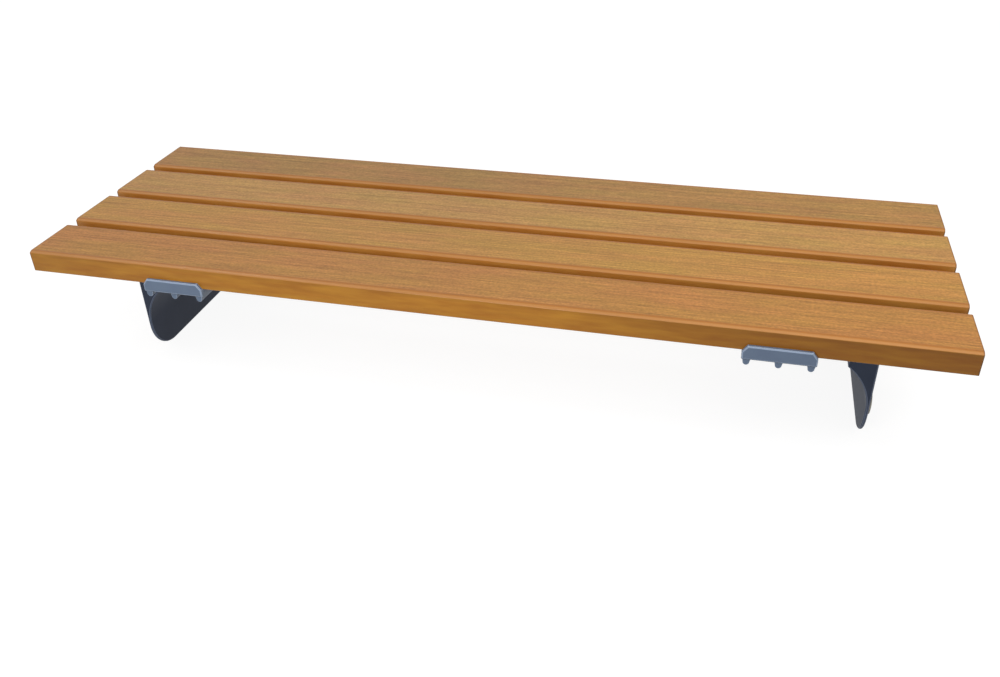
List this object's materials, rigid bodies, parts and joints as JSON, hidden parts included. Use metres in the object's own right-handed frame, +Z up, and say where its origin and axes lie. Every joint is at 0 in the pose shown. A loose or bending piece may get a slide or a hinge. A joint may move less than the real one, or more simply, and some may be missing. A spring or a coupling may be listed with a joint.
{
  "type": "bath seat",
  "caption": "Slatted seat board that lies across a bath's rims, with rubber-padded wall brackets that slide in and out below it and clamp with star knobs.",
  "frame": {"origin": "centre of the board seen from above, at the height of the brackets' lower edges", "axes": "+X along the board to the right of someone facing its front edge, +Y towards its back edge, +Z up through the seat"},
  "size_m": [0.686, 0.235, 0.1034],
  "materials": {
    "slat": "satin, fine straight grain",
    "cross_member": "moulded, fine texture",
    "bracket": "moulded, fine texture",
    "pad": "smooth soft rubber",
    "steel": "bright stainless",
    "knob": "moulded, fine texture",
    "brass": "turned"
  },
  "bodies": {
    "board": {"slat_front": "slat", "slat_mid_front": "slat", "slat_mid_back": "slat", "slat_back": "slat", "left_cross_member": "cross_member", "left_slat_screws": "steel", "left_rim_pads": "pad", "left_clamp_bolts": "steel", "left_clamp_washers": "steel", "right_cross_member": "cross_member", "right_slat_screws": "steel", "right_rim_pads": "pad", "right_clamp_bolts": "steel", "right_clamp_washers": "steel"},
    "left_leg": {"left_leg": "bracket", "left_leg_pad": "pad"},
    "left_front_knob": {"left_front_knob": "knob", "left_front_knob_nut": "brass"},
    "left_back_knob": {"left_back_knob": "knob", "left_back_knob_nut": "brass"},
    "right_leg": {"right_leg": "bracket", "right_leg_pad": "pad"},
    "right_front_knob": {"right_front_knob": "knob", "right_front_knob_nut": "brass"},
    "right_back_knob": {"right_back_knob": "knob", "right_back_knob_nut": "brass"}
  },
  "joints": [
    {"name": "left_leg_slide", "type": "slide", "parent": "board", "child": "left_leg", "axis": [1, 0, 0], "range_m": [-0.0335, 0.0209]},
    {"name": "left_front_knob_turn", "type": "hinge", "parent": "board", "child": "left_front_knob", "pos_m": [-0.21133, -0.04, 0.06], "axis": [0, 0, -1], "range_deg": [0, 540]},
    {"name": "left_back_knob_turn", "type": "hinge", "parent": "board", "child": "left_back_knob", "pos_m": [-0.21133, 0.04, 0.06], "axis": [0, 0, -1], "range_deg": [0, 540]},
    {"name": "right_leg_slide", "type": "slide", "parent": "board", "child": "right_leg", "axis": [-1, 0, 0], "range_m": [-0.0187, 0.0357]},
    {"name": "right_front_knob_turn", "type": "hinge", "parent": "board", "child": "right_front_knob", "pos_m": [0.21133, -0.04, 0.06], "axis": [0, 0, -1], "range_deg": [0, 540]},
    {"name": "right_back_knob_turn", "type": "hinge", "parent": "board", "child": "right_back_knob", "pos_m": [0.21133, 0.04, 0.06], "axis": [0, 0, -1], "range_deg": [0, 540]}
  ]
}
